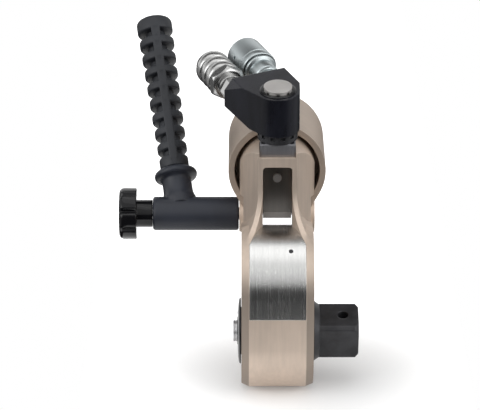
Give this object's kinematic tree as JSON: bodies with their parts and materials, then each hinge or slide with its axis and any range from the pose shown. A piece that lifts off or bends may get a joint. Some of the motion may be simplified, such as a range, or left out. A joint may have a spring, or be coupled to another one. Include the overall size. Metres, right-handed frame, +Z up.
{
  "type": "hydraulic torque wrench",
  "caption": "Square-drive hydraulic torque wrench with a round nose, slotted neck, hydraulic barrel, hose swivel with quick couplers and a clamped side handle.",
  "frame": {"origin": "on the drive axis, at the middle of the nose's width", "axes": "+X out along the drive square, +Y back along the barrel, +Z up towards the swivel"},
  "size_m": [0.2217, 0.2575, 0.3028],
  "materials": {
    "nickel_plate": "satin nickel plate on forged steel",
    "stainless": "brushed stainless sheet",
    "black_screws": "black oxide screws",
    "bronze": "turned bronze",
    "seal_rubber": "black nitrile",
    "tool_steel": "ground tool steel",
    "spring_steel": "blued spring steel",
    "bright_block": "ground bright steel",
    "black_ring": "black oxide ring",
    "post_nickel": "satin nickel plate",
    "black_oxide": "black oxide on forged steel",
    "bright_steel": "turned steel",
    "guard_steel": "brushed steel sheet",
    "black_anodised": "black anodised aluminium",
    "chrome_plate": "bright chrome plate",
    "zinc_plate": "clear zinc plate",
    "handle_nylon": "charcoal glass-filled nylon",
    "grip_rubber": "charcoal moulded rubber",
    "gloss_black": "glossy black thermoset"
  },
  "bodies": {
    "wrench_body": {"housing": "nickel_plate", "shroud": "stainless", "shroud_screw": "black_screws", "barrel": "nickel_plate", "barrel_screws": "black_screws", "end_cap": "nickel_plate", "rod_gland": "bronze", "gland_seal": "seal_rubber", "drive_bushes": "bronze", "holding_pawl_pin": "tool_steel", "holding_spring": "spring_steel", "swivel_block": "bright_block", "block_screws": "black_screws", "swivel_base_ring": "black_ring", "swivel_post": "post_nickel", "post_seals": "seal_rubber"},
    "drive": {"square_drive": "black_oxide", "ratchet_wheel": "tool_steel", "retainer_disc": "black_oxide", "disc_screws": "black_screws"},
    "button": {"retainer_button": "bright_steel"},
    "crank": {"crank": "tool_steel", "cross_pin": "tool_steel", "guard_plate": "guard_steel", "guard_screw": "black_screws", "drive_pawl_pin": "tool_steel", "pawl_spring": "spring_steel"},
    "drive_pawl": {"drive_pawl": "tool_steel"},
    "holding_pawl": {"holding_pawl": "tool_steel"},
    "piston": {"piston": "bright_steel", "piston_seal": "seal_rubber", "piston_rod": "bright_steel"},
    "swivel": {"manifold": "black_anodised", "left_nipple": "chrome_plate", "left_coupler": "chrome_plate", "right_nipple": "zinc_plate", "right_coupler": "zinc_plate"},
    "collar": {"left_collar": "chrome_plate"},
    "sleeve": {"right_sleeve": "zinc_plate"},
    "left_valve": {"left_poppet": "bright_steel"},
    "right_valve": {"right_poppet": "bright_steel"},
    "handle": {"handle_tee": "handle_nylon", "handle_grip": "grip_rubber", "grip_core": "bright_steel"},
    "knob": {"clamp_knob": "gloss_black", "clamp_bolt": "bright_steel"}
  },
  "joints": [
    {"name": "drive_spin", "type": "hinge", "parent": "wrench_body", "child": "drive", "pos_m": [0, 0, 0], "axis": [1, 0, 0], "continuous": true},
    {"name": "button_press", "type": "slide", "parent": "drive", "child": "button", "axis": [1, 0, 0], "range_m": [0, 0.003], "stiffness_N_per_m": 900, "springref_m": -0.002},
    {"name": "crank_swing", "type": "hinge", "parent": "wrench_body", "child": "crank", "pos_m": [0, 0, 0], "axis": [1, 0, 0], "range_deg": [0, 15]},
    {"name": "piston_slide", "type": "slide", "parent": "wrench_body", "child": "piston", "axis": [0, -1, 0], "range_m": [0, 0.03705]},
    {"name": "drive_pawl_lift", "type": "hinge", "parent": "crank", "child": "drive_pawl", "pos_m": [0, 0.02995, 0.05003], "axis": [-1, 0, 0], "range_deg": [0, 5], "stiffness_Nm_per_rad": 1, "springref_deg": -8.59},
    {"name": "holding_pawl_lift", "type": "hinge", "parent": "wrench_body", "child": "holding_pawl", "pos_m": [0, -0.02, 0.058], "axis": [-1, 0, 0], "range_deg": [0, 4], "stiffness_Nm_per_rad": 1, "springref_deg": -8.59},
    {"name": "swivel_turn", "type": "hinge", "parent": "wrench_body", "child": "swivel", "pos_m": [0, 0.024, 0.17024], "axis": [0, -0.1736, 0.9848], "range_deg": [-200, 5]},
    {"name": "collar_turn", "type": "hinge", "parent": "swivel", "child": "collar", "pos_m": [-0.03484, 0.04324, 0.21451], "axis": [-0.4067, 0.8997, 0.1586], "continuous": true},
    {"name": "sleeve_slide", "type": "slide", "parent": "swivel", "child": "sleeve", "axis": [0.4067, -0.8997, -0.1586], "range_m": [0, 0.005], "stiffness_N_per_m": 600, "springref_m": -0.004},
    {"name": "left_valve_push", "type": "slide", "parent": "swivel", "child": "left_valve", "axis": [0.4067, -0.8997, -0.1586], "range_m": [0, 0.004], "stiffness_N_per_m": 400, "springref_m": -0.004},
    {"name": "right_valve_push", "type": "slide", "parent": "swivel", "child": "right_valve", "axis": [0.4067, -0.8997, -0.1586], "range_m": [0, 0.004], "stiffness_N_per_m": 400, "springref_m": -0.004},
    {"name": "handle_swing", "type": "hinge", "parent": "wrench_body", "child": "handle", "pos_m": [-0.075, 0.058, 0.09414], "axis": [1, 0, 0], "continuous": true},
    {"name": "knob_turn", "type": "hinge", "parent": "wrench_body", "child": "knob", "pos_m": [-0.13, 0.058, 0.09414], "axis": [1, 0, 0], "continuous": true}
  ],
  "couplings": [
    {"joint": "piston_slide", "follows": "crank_swing", "m_per_rad": 0.14075}
  ]
}
